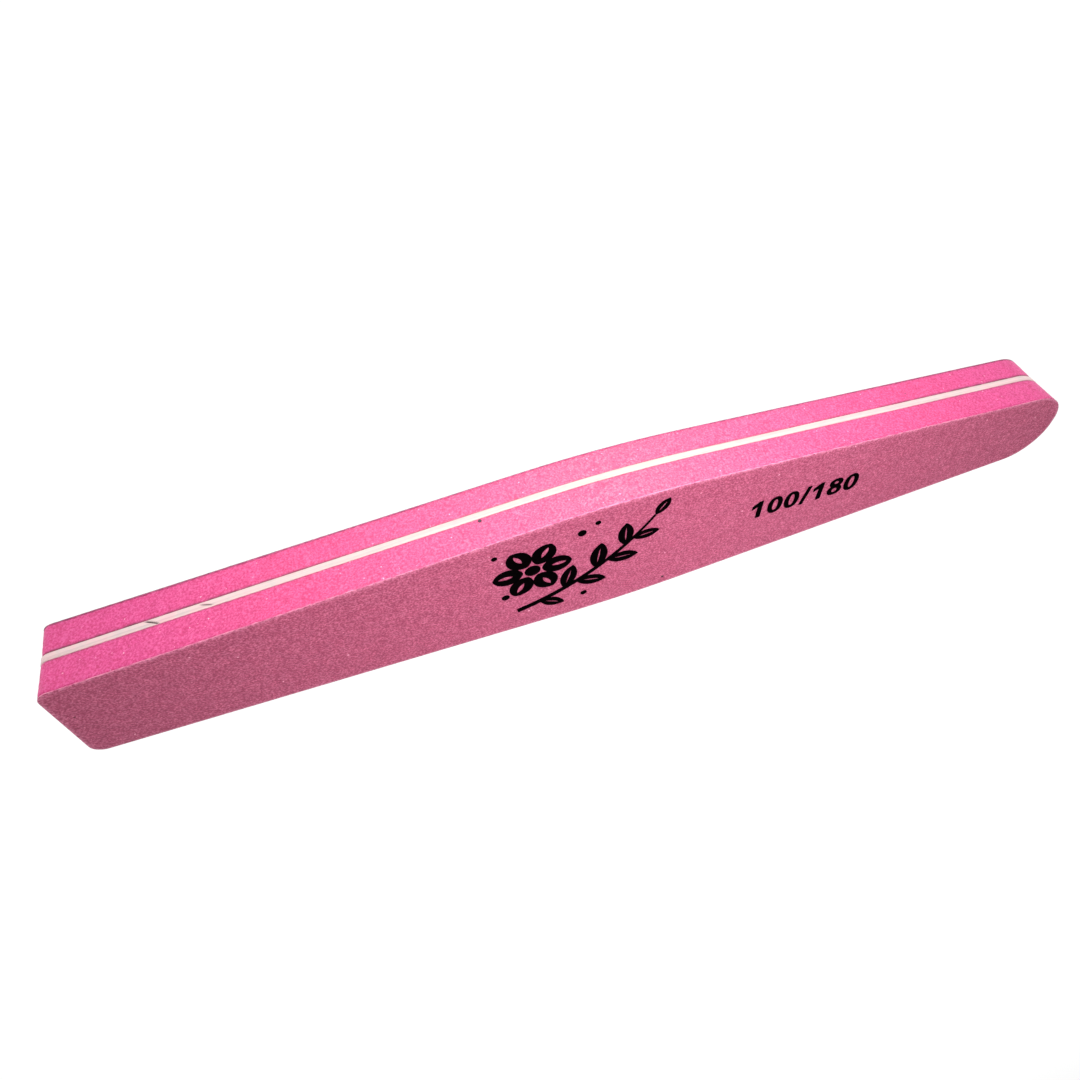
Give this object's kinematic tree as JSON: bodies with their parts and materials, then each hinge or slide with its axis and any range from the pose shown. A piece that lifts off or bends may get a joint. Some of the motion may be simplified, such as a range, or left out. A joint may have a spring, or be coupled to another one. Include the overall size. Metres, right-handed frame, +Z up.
{
  "type": "nail buffer block",
  "caption": "Slim sponge nail file and buffer: foam pads on a stiff white core, faced with abrasive sheets, in a stretched hexagon shape.",
  "frame": {"origin": "on the resting face, under the middle of the block's box", "axes": "+X along the block towards its rounder end, +Y across it, +Z up through the layers to the printed fine-grit side"},
  "size_m": [0.1779, 0.0276, 0.012],
  "materials": {
    "foam": "fine matt sponge",
    "core": "matt white sheet",
    "tape": "clear double-sided tape",
    "adhesive": "dried contact adhesive",
    "paper": "cloth-backed abrasive paper",
    "grit": "fine abrasive grain",
    "ink": "flat black print"
  },
  "bodies": {
    "root": {"core_board": "core", "core_tape_upper": "tape", "core_tape_lower": "tape", "foam_pad_upper": "foam", "foam_pad_lower": "foam", "sheet_adhesive_upper": "adhesive", "sheet_adhesive_lower": "adhesive", "backing_paper_upper": "paper", "backing_paper_lower": "paper", "grit_coat_upper": "grit", "grit_coat_lower": "grit", "printed_grit_mark": "ink", "printed_ornament": "ink"}
  },
  "joints": []
}
